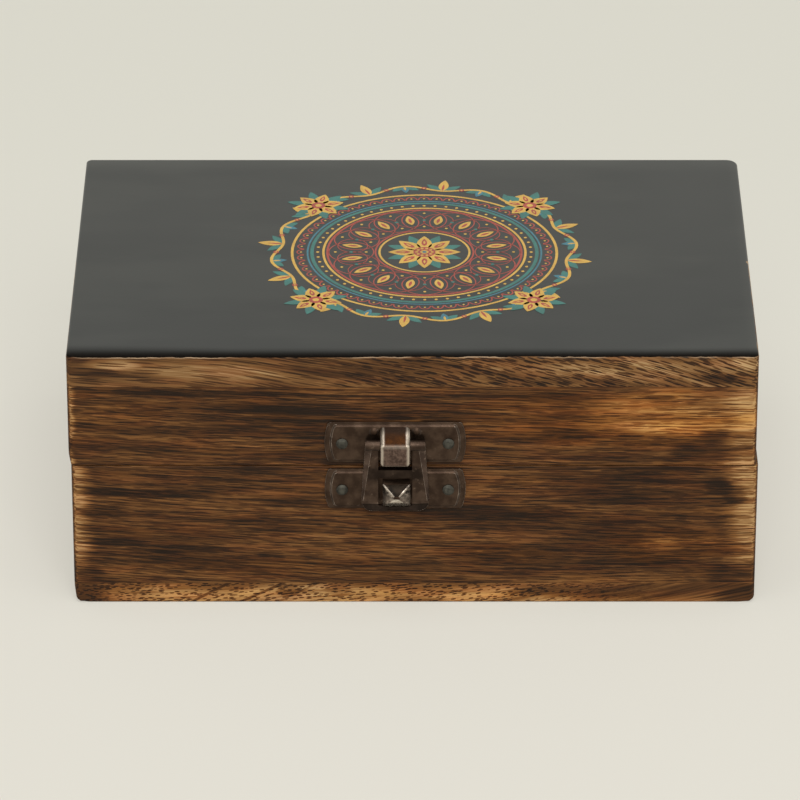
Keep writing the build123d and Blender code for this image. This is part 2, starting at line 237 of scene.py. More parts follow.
def softbox(name, place, size, power):
    """A square softbox that faces the box."""
    light = bpy.data.lights.new(name, "AREA")
    light.shape = "SQUARE"
    light.size = size
    light.energy = power
    lamp = add_object(name, light)
    lamp.location = place
    aim = box_middle - Vector(place)
    lamp.rotation_euler = aim.to_track_quat("-Z", "Y").to_euler()


softbox("left_softbox", place=(-1.3, -0.8, 0.9), size=1.0, power=2.5)
softbox("right_softbox", place=(1.3, -0.8, 0.9), size=1.0, power=2.5)
softbox("front_softbox", place=(0.2, -1.9, 1.7), size=1.2, power=33)
softbox("top_softbox", place=(0, -0.3, 1.9), size=1.2, power=16)

# ---- Base front board ----
# The front wall of the base is torched mango wood. Its soft bands are burnt darker than the hard
# ones, a torch has left smoky marks, and sanding has bared paler wood at the two ends.

# from char and scorched wood to brown, tan and bare wood
burnt_stops = [
    (0.0, (0.0150, 0.0088, 0.0052)), (0.22, (0.036, 0.0158, 0.0064)),
    (0.45, (0.080, 0.0330, 0.0104)), (0.72, (0.200, 0.090, 0.0275)), (1.0, (0.460, 0.280, 0.1180)),
]
raw_stops = [(0.0, (0.13, 0.066, 0.027)), (0.5, (0.33, 0.19, 0.085)), (1.0, (0.50, 0.32, 0.16))]
amber_tint, blush_tint, grey_tint = (1.24, 0.96, 0.52), (1.06, 0.955, 0.955), (0.96, 1.05, 1.20)
# the hollow inside the box, taken a little larger, and the two rims that meet
inner_half_x, inner_half_y = 67.1, 41.85
hollow_low, hollow_high = 4.95, 54.35
wall_blur, face_blur = 0.05, 0.02
rim_low, rim_high = 34.5, 34.75
rim_margin, rim_blur = 0.05, 0.04
lid_middle = -0.5


def millimetres(place):
    """The three coordinates of a place, in millimetres."""
    return [place.axis(letter) / MM for letter in "XYZ"]


def torched_wood(name, grain, seed, slope, tone, marks=(), dash=(4.0, 0.32), dash_share=0.42,
                 figure=1.2, contrast=0.98, dash_depth=0.18, warmth=0.22, bend=0.0, ends=None,
                 middle=0.0, gold=(), vein=0.23, dash_fade=None, greyed=0.0, slants=()):
    """Burnt wood with its grain along x or y. Marks are soft patches on the seen face, each
    (across, up, half width, half height, how much lighter), in millimetres. Gold lists patches
    of warmer colour in the same way. Slants are dark veins that lean across the grain, each
    (across at the underside, run for each millimetre up, half width, how much darker)."""
    material, start = new_material(name)
    x, y, z = millimetres(object_place(start))
    along, through = (x, y) if grain == "x" else (y, x)

    def cells(length, height, depth, shift, up):
        """The place counted in cells of this size, in millimetres."""
        counts = {0: along / length + (seed + shift), 1: up / height, 2: through / depth}
        return start.node("ShaderNodeCombineXYZ", {}, counts)

    def noise(sizes, detail=2.0, roughness=0.55, shift=0.0, up=z):
        inputs = {"Scale": 1.0, "Detail": detail, "Roughness": roughness}
        inputs["Vector"] = cells(*sizes, shift, up)
        return start.node("ShaderNodeTexNoise", {}, inputs, 0)

    def pores(length, height, share, shift):
        """1 in the open pores, which are dark dashes that lie along the grain."""
        inputs = {"Vector": cells(length, height, height, shift, lie), "Scale": 1.0}
        near = start.node("ShaderNodeTexVoronoi", {}, inputs, "Distance")
        return 1 - near.step(share * 0.75, share)

    def patch(spot, ragged):
        """1 in the middle of a soft patch and 0 outside it."""
        u = (x - spot[0]) / spot[2]
        v = (z - spot[1]) / spot[3]
        return (1 - (u * u + v * v + ragged)).step(0, 0.9)

    # the lie of the grain: sloped, bent and wavy
    wave_rise = 4 * figure
    wave = noise((55, 18, 25), detail=1.0) - 0.5
    ripple = noise((21, 6, 12), detail=1.0, roughness=0.5, shift=3.7) - 0.5
    lie = z + along * slope + along * along * bend + wave * wave_rise + ripple * figure
    bands = noise((60, 2.2, 5.0), roughness=0.6, shift=11.0, up=lie)
    fibres = noise((25, 0.56, 1.4), roughness=0.6, shift=23.0, up=lie)
    hairs = noise((12, 0.26, 0.7), detail=1.0, roughness=0.6, shift=31.0, up=lie)
    threads = 1 - hairs.step(0.34, 0.44)
    dashes = pores(*dash, dash_share, shift=47.0)
    if dash_fade:
        dashes = dashes * along.step(*dash_fade)
    vessels = pores(length=9.0, height=0.46, share=0.42, shift=5.3)
    patches = noise((34, 7, 18), shift=59.0)
    smoke = noise((26, 3.2, 12), detail=1.0, roughness=0.5, shift=83.0, up=lie).step(0.58, 0.72)

    # how light the wood is, from 0 where it is charred to 1 where it is bare
    band_part, fibre_part, hair_part = contrast * 0.55, contrast * 0.68, contrast * 0.40
    thread_part, patch_part, smoke_part, wood_lift = contrast * 0.13, 0.30, 0.13, 0.09
    streaks = (bands - 0.5) * band_part + (patches - 0.5) * patch_part
    streaks = streaks + (fibres - 0.5) * fibre_part - vessels * vein
    streaks = streaks + (hairs - 0.5) * hair_part - threads * thread_part
    streaks = streaks - dashes * dash_depth - smoke * smoke_part
    lightness = tone + wood_lift + streaks
    ragged = (fibres - 0.5) * 0.9 + (bands - 0.5) * 0.7 + (ripple * 1.4)
    for spot in marks:
        lightness = lightness + patch(spot, ragged) * spot[4]
    if ends:
        # the ends, (middle, half length, low end's width, high end's width, how much lighter)
        end_middle, end_half, low_width, high_width, end_lift = ends
        fade_from, fade_to = 1.5, 0.35
        foot_low, foot_high, foot_part = 7, 13.5, 0.25
        # a painted shade along the rounded upright corner at each end of the board
        corner_shade_width, corner_shade_blur, corner_shade_depth = 0.1, 0.7, 0.40
        off_middle = along - end_middle
        wander = ragged * 2.4 + (patches - 0.5) * 3
        high_from, high_to = end_half - high_width * fade_from, end_half - high_width * fade_to
        low_from, low_to = end_half - low_width * fade_from, end_half - low_width * fade_to
        bared = (off_middle + wander).step(high_from, high_to)
        bared = bared + (wander - off_middle).step(low_from, low_to)
        bared = bared * (foot_part + z.step(foot_low, foot_high) * (1 - foot_part))
        lightness = lightness + bared * end_lift
        # painted shade: the rounded upright corner at each end is darkened
        corner_shade = abs(off_middle).step(end_half - corner_shade_blur, end_half - corner_shade_width)
        lightness = lightness - corner_shade * corner_shade_depth
    for foot, run, half_width, depth in slants:
        off_vein = abs(x - z * run - foot + ragged * 0.35)
        lightness = lightness - (1 - off_vein.step(half_width * 0.4, half_width)) * depth
    # the mating rims are left nearly unburnt
    rim_lift, rim_figure = 0.28, 0.6
    over_low, under_high = z - rim_low + rim_margin, rim_high + rim_margin - z
    rim = over_low.step(0, rim_blur) * under_high.step(0, rim_blur)
    lightness = lightness * (1 - rim) + rim * (tone + rim_lift + streaks * rim_figure)

    tinted = start.node("ShaderNodeValToRGB", {"stops": burnt_stops}, {"Fac": lightness}, "Color")
    amber = noise((19, 4, 10), detail=1.0, roughness=0.5, shift=71.0).step(0.48, 0.75) * warmth
    for spot in gold:
        amber = amber + patch(spot, ragged) * spot[4]
    blush = noise((11, 1.8, 7), detail=1.0, roughness=0.5, shift=91.0).step(0.42, 0.68)
    for share, tint in ((amber, amber_tint), (blush, blush_tint), (greyed, grey_tint)):
        tinted = start.node(
            "ShaderNodeMix",
            {"data_type": "RGBA", "blend_type": "MULTIPLY", "clamp_factor": True},
            {"Factor": share, "A": tinted, "B": (*tint, 1)},
        )

    # the faces of the hollow are raw wood
    inside = (inner_half_x - abs(x - middle)).step(0, wall_blur)
    inside = inside * (inner_half_y - abs(y)).step(0, wall_blur)
    inside = inside * (z - hollow_low).step(0, face_blur) * (hollow_high - z).step(-face_blur, 0)
    raw_bands = noise((60, 2.6, 5.0), roughness=0.6, shift=11.0)
    raw_fibres = noise((24, 0.7, 1.3), roughness=0.6, shift=23.0)
    raw_lightness = 0.58 + (raw_bands - 0.5) * 0.8 + (raw_fibres - 0.5) * 0.8
    raw = start.node("ShaderNodeValToRGB", {"stops": raw_stops}, {"Fac": raw_lightness}, "Color")
    relief = bands * 0.35 + fibres * 0.4 + hairs * 0.35 - dashes * 0.5 - vessels * 0.4
    finish_material(
        start,
        {
            "Base Color": inside.mix(tinted, raw),
            "Roughness": 0.62 - lightness * 0.12 + inside * 0.15,
            "Specular IOR Level": 0.11,
            "Normal": relief.bump(strength=0.55, depth=0.12),
        },
    )
    return material


def wear_material(node, material):
    """Gives a solid of the frame its finish."""
    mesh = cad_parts[node].data
    mesh.materials.clear()
    mesh.materials.append(material)


# the dark patch at x -4.3, height 34 is painted shadow where the wood shows behind the hasp
base_front_marks = [
    (-68.0, 28.4, 7.0, 1.7, -0.30), (-54.0, 27.6, 18.0, 1.2, -0.22), (-67.0, 15.4, 8.0, 1.5, -0.28),
    (-52, 13.6, 16, 1.3, -0.24), (-62.0, 22.5, 14.0, 1.0, -0.12), (-26.0, 25.6, 9.0, 1.7, -0.22),
    (20.0, 22.9, 24.0, 2.0, -0.18), (42.0, 28.6, 17.0, 4.6, -0.22), (67.5, 29.6, 3.6, 2.6, -0.24),
    (71.0, 27.0, 3.0, 1.8, -0.20), (44.0, 20.0, 10.0, 1.7, -0.20), (54.5, 15.2, 6.0, 3.2, 0.16),
    (66.0, 17.6, 8.0, 5.0, 0.10), (52.0, 10.4, 17.0, 1.0, -0.20), (8.0, 14.4, 24.0, 5.0, 0.08),
    (-72.5, 7.2, 4.5, 2.6, -0.22), (70.0, 7.2, 7.0, 2.6, -0.22), (0.0, 34.2, 90.0, 0.5, -0.16),
    (-4.3, 34.0, 5.0, 3.0, -0.40), (-60.0, 8.0, 14.0, 1.6, 0.10), (36.0, 18.0, 30.0, 14.0, -0.08),
    (28.0, 34.0, 16.0, 0.9, -0.18), (56.0, 33.3, 18.0, 1.3, -0.24),
]
base_front_gold = [
    (56.0, 15.0, 18.0, 6.0, 0.45), (20.0, 12.0, 16.0, 3.0, 0.25), (-35.0, 9.0, 30.0, 3.0, 0.2),
]
base_front_wood = torched_wood(
    "base_front_wood", "x", seed=3.1, slope=0.035, tone=0.39, marks=base_front_marks,
    figure=0.55, bend=-0.00025, ends=(0, 76.0, 3.8, 5.6, 0.42), gold=base_front_gold,
)
wear_material("base_front_board", base_front_wood)

# ---- Base back board ----
# The back wall of the base is the same wood from further along the plank, burnt a little more. It
# is glued to the ends of the side walls, and the hinges are let into its rim.
base_back_marks = [(-40, 20, 26, 5, -0.16), (30, 12, 22, 4, 0.12), (60, 26, 14, 5, -0.14)]
base_back_wood = torched_wood(
    "base_back_wood", "x", seed=17.3, slope=-0.02, tone=0.40, marks=base_back_marks,
    ends=(0, 76.0, 3.0, 3.6, 0.34),
)
wear_material("base_back_board", base_back_wood)

# ---- Base side boards ----
# The side walls of the base are the same wood, glued between the front and the back, so their
# grain runs front to back.
for side, seed, slope, tone in (("left", 29.4, 0.03, 0.42), ("right", 41.7, -0.025, 0.44)):
    side_wood = torched_wood(f"base_{side}_wood", "y", seed, slope, tone, figure=1.5)
    wear_material(f"base_{side}_board", side_wood)

# ---- Bottom board ----
# The bottom is one thin board of paler wood, glued on under the walls. Its edge is cut across the
# pores, so they show as short dark dashes. Its two ends are sanded round at the foot.
bottom_marks = [
    (-52.0, 2.0, 20.0, 3.4, 0.34), (-18.0, 2.0, 26.0, 3.4, 0.18), (-75.0, 2.0, 7.0, 6.0, -0.16),
    (72.0, 2.0, 7.0, 6.0, -0.22), (50.0, 3.0, 30.0, 3.4, -0.22), (20.0, 1.0, 22.0, 1.6, 0.20),
    (-20.0, 2.0, 30.0, 3.2, 0.12), (8.0, 2.4, 20.0, 2.4, 0.14), (-28.0, 3.0, 3.0, 2.2, -0.22),
    (-17.0, 3.2, 4.0, 2.0, -0.16), (50.0, 0.8, 22.0, 1.0, 0.10),
]
bottom_slants = [(-50.1, 1.75, 0.9, 0.34), (-39.3, 2.0, 1.0, 0.36), (-31.0, 1.9, 0.8, 0.16)]
bottom_gold = [
    (-50.0, 2.0, 24.0, 3.5, 0.4), (0.0, 2.0, 30.0, 3.5, 0.4), (45.0, 1.5, 25.0, 2.0, 0.4),
]
bottom_wood = torched_wood(
    "bottom_wood", "x", seed=53.9, slope=-0.12, tone=0.55, marks=bottom_marks, dash=(1.5, 0.40),
    dash_share=0.45, figure=0.7, contrast=0.70, dash_depth=0.48, warmth=0.2, bend=-0.0008,
    gold=bottom_gold, vein=0.08, dash_fade=(62, 22), slants=bottom_slants,
)
# each end: (side, its place at the underside, its lean, the round's run along and its rise)
foot_ends = ((-1, 75.4, 0.6 / 4.5, 3.0, 1.4), (1, 76.0, 0.0, 3.8, 1.5))
foot_cuts, cut_margin = 4, 0.0005
weld_distance, flat_angle, smooth_angle = 0.002, 0.4, 38


def solid_copy(node, finishes):
    """A copy of a solid's mesh with new finishes, and its shape, joined up to be worked on."""
    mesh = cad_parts[node].data.copy()
    mesh.materials.clear()
    for finish in finishes:
        mesh.materials.append(finish)
    shape = bmesh.new()
    shape.from_mesh(mesh)
    bmesh.ops.remove_doubles(shape, verts=shape.verts, dist=weld_distance * MM)
    bmesh.ops.dissolve_limit(
        shape, angle_limit=radians(flat_angle), verts=shape.verts, edges=shape.edges
    )
    return mesh, shape


def dressed_piece(node, body, mesh, shape):
    """The piece that stands for a solid, smooth where it is round."""
    shape.to_mesh(mesh)
    shape.free()
    mesh.name = node + "_dressed"
    mesh.shade_smooth()
    mesh.set_sharp_from_angle(angle=radians(smooth_angle))
    piece = add_object(node + "_dressed", mesh)
    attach(piece, body)
    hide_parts(node)


# the ends are cut across where the round goes, and then their corners are drawn in to it
bottom_mesh, bottom_shape = solid_copy("bottom_board", [bottom_wood])
across, up = Vector((1, 0, 0)), Vector((0, 0, 1))
for side, end, lean, run, rise in foot_ends:
    for cut in range(foot_cuts):
        share = 1 - tan(pi / 4 * cut / foot_cuts)
        run_point, rise_point = across * side * (end - run * share), up * rise * share
        for point, facing in ((run_point, across), (rise_point, up)):
            bmesh.ops.bisect_plane(
                bottom_shape,
                geom=bottom_shape.verts[:] + bottom_shape.edges[:] + bottom_shape.faces[:],
                dist=cut_margin * MM,
                plane_co=point * MM,
                plane_no=facing,
            )
for vertex in bottom_shape.verts:
    spot = vertex.co / MM
    for side, end, lean, run, rise in foot_ends:
        round_from = end + spot.z * lean - run
        u, v = (spot.x * side - round_from) / run, (rise - spot.z) / rise
        if u > 0 and v > 0 and u * u + v * v > 1:
            reach = sqrt(u * u + v * v)
            vertex.co.x = side * (round_from + run * u / reach) * MM
            vertex.co.z = (rise - rise * v / reach) * MM
dressed_piece("bottom_board", "base", bottom_mesh, bottom_shape)

# ---- Lid front board ----
# The lid's front wall is the same wood, torched like the base and left golden towards its right
# end. It is glued under the top board.
# the dark patches at x -4.3 and the one at x -14, height 35.3, are painted shade about the latch
# and under the upper plate
lid_front_marks = [
    (58.0, 48.4, 28.0, 7.0, 0.30), (60.2, 38.2, 5.0, 2.4, -0.15), (56.0, 36.6, 5.0, 1.6, -0.12),
    (66.2, 42.2, 4.2, 2.0, -0.14), (41.0, 34.0, 14.0, 4.0, -0.14), (58.0, 44.0, 18.0, 2.2, 0.10),
    (-45, 52.6, 36, 0.9, -0.17), (-30.0, 48.6, 26.0, 2.2, -0.14), (10.0, 50.4, 26.0, 2.4, -0.08),
    (-20.0, 44.4, 30.0, 7.0, -0.10), (26.0, 50.4, 24.0, 2.4, 0.07), (-60.0, 45.4, 20.0, 7.0, 0.10),
    (0.0, 35.0, 90.0, 0.4, 0.03), (-4.3, 35.4, 5.0, 3.0, -0.40), (-4.3, 46.5, 5.0, 1.3, -0.34),
    (54.0, 51.6, 4.0, 0.7, -0.30), (70.5, 46.5, 3.4, 3.4, -0.10), (-32.0, 44.5, 18.0, 9.0, -0.08),
    (4.0, 44.5, 20.0, 9.0, -0.06), (-14.0, 35.3, 8.0, 1.3, -0.30), (44.0, 40.0, 16.0, 1.4, 0.08),
]
lid_front_gold = [
    (44.0, 46.0, 40.0, 9.0, 0.6), (60.0, 45.0, 10.0, 3.0, 0.2), (-64.0, 48.0, 12.0, 4.0, 0.2),
]
lid_front_wood = torched_wood(
    "lid_front_wood", "x", seed=67.2, slope=0.03, tone=0.38, marks=lid_front_marks, figure=0.5,
    bend=-0.0002, ends=(lid_middle, 76.0, 1.2, 6.4, 0.36), middle=lid_middle, gold=lid_front_gold,
)
wear_material("lid_front_board", lid_front_wood)

# ---- Lid back board ----
# The lid's back wall is the same wood, plain and evenly burnt. It is glued under the top board,
# and the hinges' upper leaves are let into its rim.
lid_back_marks = [(-30, 44, 30, 4, -0.12), (45, 40, 20, 5, 0.10)]
lid_back_wood = torched_wood(
    "lid_back_wood", "x", seed=79.8, slope=0.02, tone=0.42, marks=lid_back_marks,
    ends=(lid_middle, 76.0, 2.6, 3.4, 0.34), middle=lid_middle,
)
wear_material("lid_back_board", lid_back_wood)

# ---- Lid side boards ----
# The lid's side walls are glued between its front and back and under the top board. Their grain
# runs front to back.
for side, seed, slope, tone in (("left", 91.5, 0.02, 0.44), ("right", 103.2, -0.03, 0.46)):
    side_wood = torched_wood(f"lid_{side}_wood", "y", seed, slope, tone, middle=lid_middle)
    wear_material(f"lid_{side}_board", side_wood)

# ---- Lid top board ----
# The top is one board, painted satin black on its face. The paint stops at the rounded edge, where
# sanding has bared a pale line of wood, and below it the edge is only lightly burnt.
# heights of the paint's edge, of the bared line under it, and of the face, which is all painted
paint_edge, paint_blur = 61.32, 0.06
bared_from, bared_to = paint_edge - 0.2, paint_edge - 0.1
face_from, face_to = 61.6, 61.68
# where dust and wear begin and end, front to back, at the back edge and at the right edge
dust_from, dust_to, back_edge_from, back_edge_to = -48, 44, 43, 50
right_edge_from, right_edge_to = 72.6, 75.2
nick_x, nick_y, nick_size, nick_blur = 75.3, -3.7, 0.15, 0.4
# how far in from the front the paint is painted dark and unreflecting, as shade: everywhere, more
# at the left, and uneven
shade_front, shade_reach, left_reach, uneven_reach = -50.4, 4.5, 1.2, 3
top_marks = [
    (-67.0, 59.6, 8.0, 1.8, 0.30), (-44.0, 58.0, 22.0, 3.0, 0.15), (46.0, 58.8, 34.0, 3.6, 0.24),
    (67.0, 56.0, 8.0, 1.9, -0.34), (-68.0, 57.2, 9.0, 1.3, -0.16), (-4.0, 58.0, 22.0, 3.6, -0.10),
    (73.0, 60.0, 4.0, 2.0, 0.26), (30.0, 56.0, 20.0, 1.6, -0.06), (20.0, 57.6, 12.0, 1.2, -0.10),
]
top_wood = torched_wood(
    "lid_top_wood", "x", seed=115.4, slope=0.20, tone=0.50, marks=top_marks, dash=(3.4, 0.52),
    dash_share=0.46, figure=0.9, contrast=0.85, dash_depth=0.40, warmth=0.0, bend=0.0008,
    middle=lid_middle, vein=0.27, dash_fade=(-29, 1), greyed=0.8,
)


def paint_over(material):
    """Paints the face of a wooden material black, with a bared line of wood at the paint's edge."""
    tree = material.node_tree
    start = Wire(tree)
    wood = Wire(tree, next(n for n in tree.nodes if n.type == "BSDF_PRINCIPLED").outputs[0])
    output = next(n for n in tree.nodes if n.type == "OUTPUT_MATERIAL")
    place = object_place(start)
    x, y, z = millimetres(place)

    def shader(colour, roughness, specular, **more):
        inputs = {"Base Color": colour, "Roughness": roughness, "Specular IOR Level": specular}
        return start.node("ShaderNodeBsdfPrincipled", {}, {**inputs, **more})

    # the paint stops higher along the front's right part and the right edge's front half
    wobble = (place.noise(405.0, 3.0) - 0.5) * 0.5
    least_rise, front_rise, side_fall = 0.10, x.step(-30, 5) * 0.14, y.step(-3.7, -1.7) * 0.24
    line = z + wobble - (least_rise + front_rise - side_fall)
    painted = line.step(paint_edge, paint_edge + paint_blur)
    painted = start.maths("MAXIMUM", painted, z.step(face_from, face_to))
    # the right edge has a nick
    off_x, off_y = x - nick_x, y - nick_y
    painted = painted * (off_x * off_x * 2 + off_y * off_y).step(nick_size, nick_blur)

    bared = line.step(bared_from, bared_to) * place.noise(60.0, 2.0).step(0.42, 0.60)
    pale_wood = shader((0.36, 0.24, 0.14, 1), 0.5, 0.2)
    edge = start.node("ShaderNodeMixShader", {}, {0: bared, 1: wood, 2: pale_wood})

    # a film of dust and wear, thicker towards the back and most of all on the back and right edges
    smear = place.noise(22.0, 3.0)
    rubbing = {0: place, 1: (30.0, 90.0, 90.0)}
    smudge = start.node("ShaderNodeVectorMath", {"operation": "MULTIPLY"}, rubbing).noise(1.0, 4.0)
    film = (smear * 0.6 + smudge * 0.4).step(0.42, 0.60) * 0.6
    film = film + y.step(dust_from, dust_to) * 0.32 + y.step(back_edge_from, back_edge_to) * 0.7
    film = film + x.step(right_edge_from, right_edge_to) * 0.45
    black_colour, dusty_colour = (0.0050, 0.0065, 0.0062), (0.034, 0.0355, 0.0305)
    grit = place.noise(2600.0, 1.0) + smear * 2
    black = shader(
        (film * 0.6).mix(black_colour, dusty_colour), 0.36 + (smear - 0.5) * 0.20, 0.48,
        Normal=grit.bump(strength=0.25, depth=0.04),
    )
    # towards the front edge the paint is painted dark and almost unreflecting: painted shade, so
    # the rounded front edge shows dark instead of reflecting the lights
    shaded_black = shader((0.0048, 0.0036, 0.0026, 1), 0.6, 0.02)
    reach = shade_reach + (1 - x.step(-60, -35)) * left_reach + (smear - 0.5) * uneven_reach
    level = (y - shade_front).step(0, reach)
    paint = start.node("ShaderNodeMixShader", {}, {0: level, 1: shaded_black, 2: black})
    whole = start.node("ShaderNodeMixShader", {}, {0: painted, 1: edge, 2: paint})
    tree.links.new(whole.socket, output.inputs["Surface"])


paint_over(top_wood)
wear_material("lid_top_board", top_wood)

# ---- Medallion ----
# A printed medallion of flowers lies on the black top: a rosette, a laced band, beads and a
# garland, in gold, brick red, teal and blue inks laid over one another.
medallion_middle = Vector((2.3, 1.4, 0))
ink_thickness = 0.012
ink_step = 0.006
lid_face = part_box("lid_top_board")[1].z / MM


def ink(name, colour, shade):
    """Matt printing ink, a little uneven where it is thin."""
    material, start = new_material(name)
    place = object_place(start)
    thin, grain = place.noise(260.0, 4.0), place.noise(3000.0, 2.0)
    uneven = (thin * 0.6 + grain * 0.4).step(0.34, 0.62)
    finish_material(
        start,
        {
            "Base Color": uneven.mix(shade, colour),
            "Roughness": 0.40 + (thin - 0.5) * 0.12,
            "Normal": grain.bump(strength=0.2, depth=0.04),
        },
    )
    return material


inks = {
    "gold": ink("gold_ink", (0.60, 0.365, 0.065), (0.46, 0.265, 0.042)),
    "brick": ink("brick_ink", (0.36, 0.050, 0.030), (0.26, 0.038, 0.024)),
    "teal": ink("teal_ink", (0.030, 0.160, 0.135), (0.021, 0.110, 0.094)),
    "blue": ink("blue_ink", (0.040, 0.175, 0.225), (0.027, 0.120, 0.158)),
}
printed = {name: [] for name in inks}


def ink_heights(layer):
    """The bottom and the top of a layer of ink."""
    bottom = (lid_face + layer * ink_step) * MM
    return bottom, bottom + ink_thickness * MM


def solid_shapes(outlines, layer):
    """A mesh of thin flat shapes, from closed outlines in millimetres, in one layer of ink."""
    bottom, top = ink_heights(layer)
    points, faces = [], []
    for outline in outlines:
        first, count = len(points), len(outline)
        points += [(x * MM, y * MM, bottom) for x, y in outline]
        points += [(x * MM, y * MM, top) for x, y in outline]
        faces.append([first + count + i for i in range(count)])
        faces.append([first + i for i in reversed(range(count))])
        for i in range(count):
            after = (i + 1) % count
            faces.append([first + i, first + after, first + count + after, first + count + i])
    mesh = bpy.data.meshes.new("shapes")
    mesh.from_pydata(points, [], faces)
    return mesh


def ribbon(middle_line, width, layer):
    """A mesh of one closed band of ink that follows a line of points, in millimetres."""
    count = len(middle_line)
    points, faces = [], []
    for i, (x, y) in enumerate(middle_line):
        before, after = middle_line[i - 1], middle_line[(i + 1) % count]
        run_x, run_y = after[0] - before[0], after[1] - before[1]
        scale = width / 2 / sqrt(run_x * run_x + run_y * run_y)
        side_x, side_y = run_y * scale, -run_x * scale
        for level in ink_heights(layer):
            points.append(((x + side_x) * MM, (y + side_y) * MM, level))
            points.append(((x - side_x) * MM, (y - side_y) * MM, level))
    for i in range(count):
        a, b = 4 * i, 4 * ((i + 1) % count)
        for p, q in ((0, 1), (1, 3), (3, 2), (2, 0)):
            faces.append([a + p, a + q, b + q, b + p])
    mesh = bpy.data.meshes.new("ribbon")
    mesh.from_pydata(points, [], faces)
    return mesh


def circle(radius, count=96, x=0.0, y=0.0):
    turns = [2 * pi * i / count for i in range(count)]
    return [(x + radius * cos(t), y + radius * sin(t)) for t in turns]


def petal(start_x, length, width, point=0.5, count=14):
    """A petal or leaf that lies along x. Point moves its widest place from base to tip."""
    swell, fullness = 0.45 / point, 0.85
    upper = []
    for i in range(count + 1):
        t = i / count
        upper.append((start_x + length * t, width / 2 * sin(pi * t ** swell) ** fullness))
    lower = [(x, -y) for x, y in reversed(upper[1:-1])]
    return list(reversed(upper + lower))


# the tree that sets a motif round a circle, each copy turned to point outwards
rounds = bpy.data.node_groups.new("set_round", "GeometryNodeTree")
rounds_sockets = {}
for socket_name, direction, kind in (
    ("Motif", "INPUT", "NodeSocketGeometry"),
    ("Count", "INPUT", "NodeSocketInt"),
    ("Radius", "INPUT", "NodeSocketFloat"),
    ("First Turn", "INPUT", "NodeSocketFloat"),
    ("Ink", "INPUT", "NodeSocketMaterial"),
    ("Print", "OUTPUT", "NodeSocketGeometry"),
):
    made = rounds.interface.new_socket(socket_name, in_out=direction, socket_type=kind)
    rounds_sockets[socket_name] = made.identifier
plan = Wire(rounds)
given = {s.name: Wire(rounds, s) for s in rounds.nodes.new("NodeGroupInput").outputs if s.name}
turn = given["First Turn"] + plan.node("GeometryNodeInputIndex") * (2 * pi) / given["Count"]
spot_x, spot_y = (turn.maths(kind, turn) * given["Radius"] for kind in ("COSINE", "SINE"))
spot = plan.node("ShaderNodeCombineXYZ", {}, {"X": spot_x, "Y": spot_y})
facing = plan.node("ShaderNodeCombineXYZ", {}, {"Z": turn})
line = plan.node("GeometryNodeMeshLine", {}, {"Count": given["Count"]})
spots = plan.node("GeometryNodeSetPosition", {}, {"Geometry": line, "Position": spot})
copying = {"Points": spots, "Instance": given["Motif"], "Rotation": facing}
copies = plan.node("GeometryNodeInstanceOnPoints", {}, copying)
real = plan.node("GeometryNodeRealizeInstances", {}, {"Geometry": copies})
inking = {"Geometry": real, "Material": given["Ink"]}
plan.node("NodeGroupOutput", {}, {"Print": plan.node("GeometryNodeSetMaterial", {}, inking)})


def print_round(colour, mesh, count=1, radius=0.0, first=0.0):
    """Prints a motif round the medallion in one ink."""
    motif = add_object("motif", mesh)
    modifier = motif.modifiers.new("set_round", "NODES")
    modifier.node_group = rounds
    modifier[rounds_sockets["Count"]] = count
    modifier[rounds_sockets["Radius"]] = radius * MM
    modifier[rounds_sockets["First Turn"]] = radians(first)
    modifier[rounds_sockets["Ink"]] = inks[colour]
    evaluated = motif.evaluated_get(bpy.context.evaluated_depsgraph_get())
    printed[colour].append(bpy.data.meshes.new_from_object(evaluated))
    bpy.data.objects.remove(motif)


def print_shape(colour, outline, layer, count=1, radius=0.0, first=0.0):
    """Prints a filled shape in one ink, once or in a round."""
    print_round(colour, solid_shapes([outline], layer), count, radius, first)


def print_ring(colour, radius, width, layer):
    """Prints a plain ring about the middle."""
    print_round(colour, ribbon(circle(radius), width, layer))


# the rosette at the middle: petals are (start, length, width, how far along they are widest),
# circles (radius, corners, x, y), and first is the first copy's turn in degrees
print_shape("teal", petal(2.4, 6.6, 2.6, 0.5), layer=1, count=8, first=22.5)
print_shape("gold", petal(1.6, 6.6, 3.5, 0.62), layer=2, count=8)
print_shape("brick", petal(3.2, 3.6, 1.3, 0.6), layer=3, count=8)
print_shape("gold", petal(4.2, 1.7, 0.5, 0.55), layer=4, count=8)
print_shape("brick", circle(2.5, 48), layer=4)
print_shape("gold", circle(0.36, 16, 1.75), layer=5, count=10)
print_shape("gold", circle(0.95, 32), layer=5)
print_shape("blue", circle(0.5, 24), layer=6)
# rings about the rosette
print_ring("gold", radius=10.2, width=0.5, layer=1)
print_ring("brick", radius=11.1, width=0.4, layer=1)
# the laced band
lace_count, lace_radius = 16, 16.6
half_lace = 180 / lace_count
print_round("brick", ribbon(circle(5.1, 72), 0.26, 1), lace_count, lace_radius)
print_round("brick", ribbon(circle(3.4, 56), 0.20, 2), lace_count, lace_radius, half_lace)
print_shape("gold", petal(-2.3, 4.8, 2.0), 4, lace_count, lace_radius, half_lace)
print_shape("brick", petal(-1.3, 2.6, 0.7), 5, lace_count, lace_radius, half_lace)
print_shape("gold", circle(0.34, 16), 4, lace_count, lace_radius - 3.4)
print_shape("gold", circle(0.34, 16), 4, lace_count, lace_radius + 3.6)
print_shape("teal", circle(0.42, 16), 4, lace_count, lace_radius)
# rings and beads outside it
bead_count = 60
print_ring("brick", radius=22.0, width=0.5, layer=1)
print_ring("gold", radius=22.9, width=0.55, layer=2)
print_shape("gold", circle(0.36, 16), layer=2, count=bead_count, radius=24.2)
print_ring("teal", radius=25.5, width=0.8, layer=1)
print_ring("blue", radius=26.5, width=0.42, layer=1)
